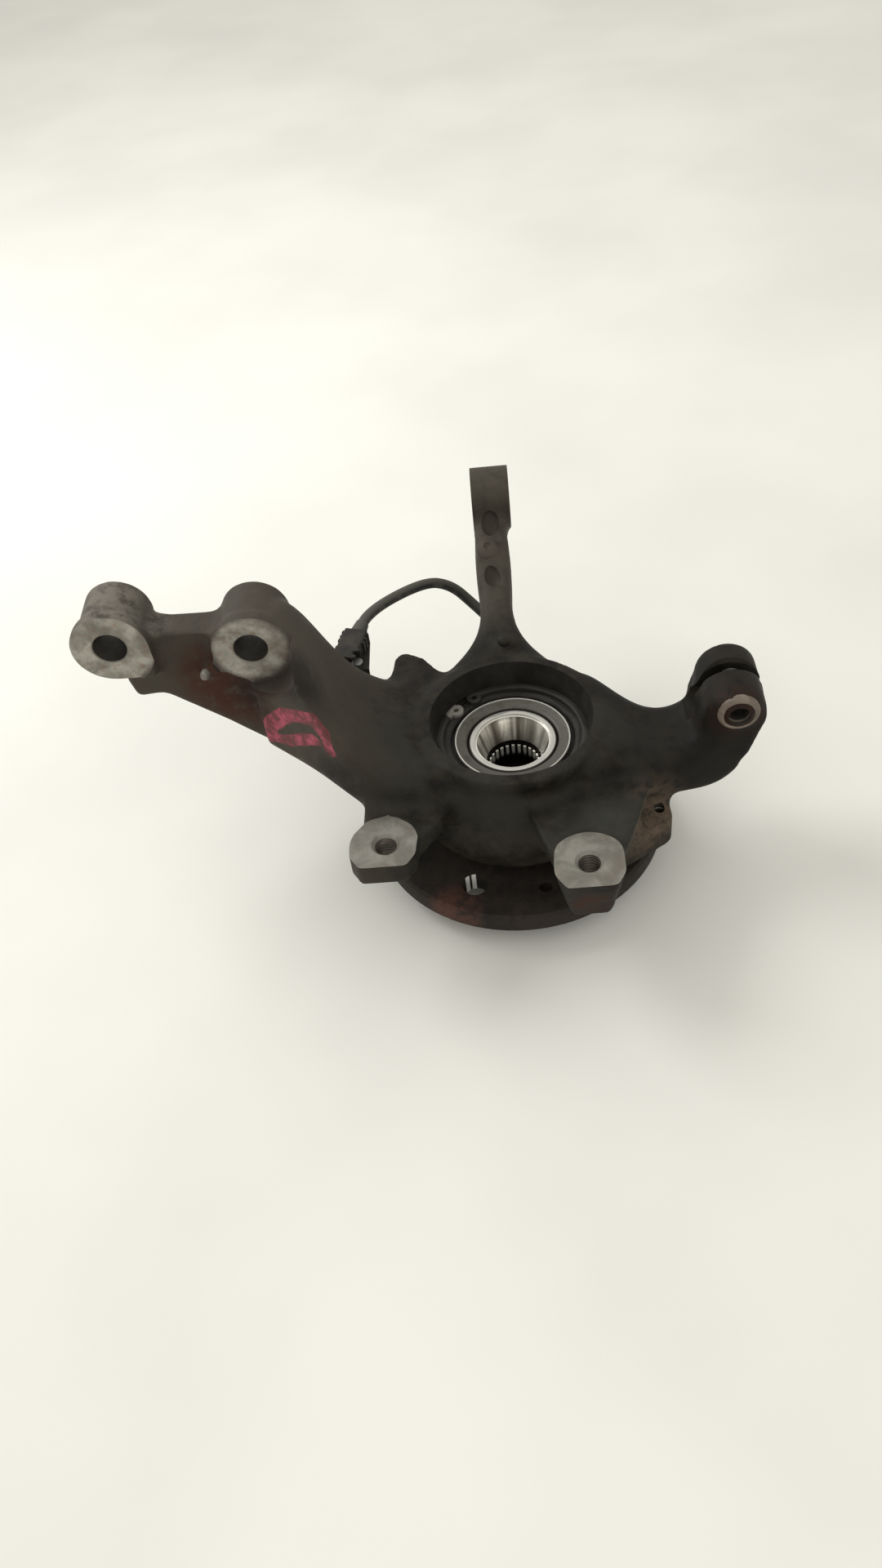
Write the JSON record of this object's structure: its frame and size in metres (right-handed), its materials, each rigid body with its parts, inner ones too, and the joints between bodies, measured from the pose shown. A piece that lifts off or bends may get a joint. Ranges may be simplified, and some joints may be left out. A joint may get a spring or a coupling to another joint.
{
  "type": "steering knuckle with hub",
  "caption": "Cast steering knuckle with strut arm, steering arm, clamp, caliper lugs, wheel hub, hub bearing and wheel speed sensor with its lead.",
  "frame": {"origin": "on the hub axis at the outer end of the hub pilot", "axes": "+Z along the hub axis towards the vehicle's middle, -X up to the strut, +X down to the ball joint, +Y to the tie rod"},
  "size_m": [0.321, 0.2524, 0.1564],
  "materials": {
    "cast": "rough as-cast, dark grey-brown with light rust",
    "hub_steel": "turned, lightly rusted outside, bright inside the bore",
    "bearing_steel": "ground and bright",
    "ball_steel": "polished",
    "cage_plastic": "moulded, natural colour",
    "seal_rubber": "satin",
    "flinger_steel": "pressed stainless",
    "spring_steel": "dark, bright at one ear",
    "sensor_plastic": "moulded black",
    "brass": "turned",
    "screw_steel": "zinc plated",
    "lead_rubber": "satin black-grey",
    "bracket_metal": "dark coated sheet"
  },
  "bodies": {
    "knuckle": {"knuckle_casting": "cast", "bearing_outer_ring": "bearing_steel", "bearing_seal_inboard": "seal_rubber", "bearing_seal_outboard": "seal_rubber", "bearing_circlip": "spring_steel", "wheel_speed_sensor": "sensor_plastic", "sensor_bushing": "brass", "sensor_o_ring": "seal_rubber", "sensor_screw": "screw_steel", "sensor_boot": "lead_rubber", "sensor_cable": "lead_rubber", "lead_boot": "lead_rubber", "lead_connector": "sensor_plastic", "cable_bracket": "bracket_metal", "bracket_screw": "screw_steel", "connector_rivet": "screw_steel"},
    "hub": {"wheel_hub": "hub_steel", "bearing_inner_ring_inboard": "bearing_steel", "bearing_inner_ring_outboard": "bearing_steel", "flinger_inboard": "flinger_steel", "flinger_outboard": "flinger_steel"},
    "ball_set": {"bearing_balls_inboard": "ball_steel", "bearing_balls_outboard": "ball_steel", "bearing_cage_inboard": "cage_plastic", "bearing_cage_outboard": "cage_plastic"}
  },
  "joints": [
    {"name": "hub_spin", "type": "hinge", "parent": "knuckle", "child": "hub", "pos_m": [0, 0, 0.0515], "axis": [0, 0, 1], "continuous": true},
    {"name": "ball_set_spin", "type": "hinge", "parent": "knuckle", "child": "ball_set", "pos_m": [0, 0, 0.0515], "axis": [0, 0, 1], "continuous": true}
  ],
  "couplings": [
    {"joint": "ball_set_spin", "follows": "hub_spin", "ratio": 0.4166}
  ]
}
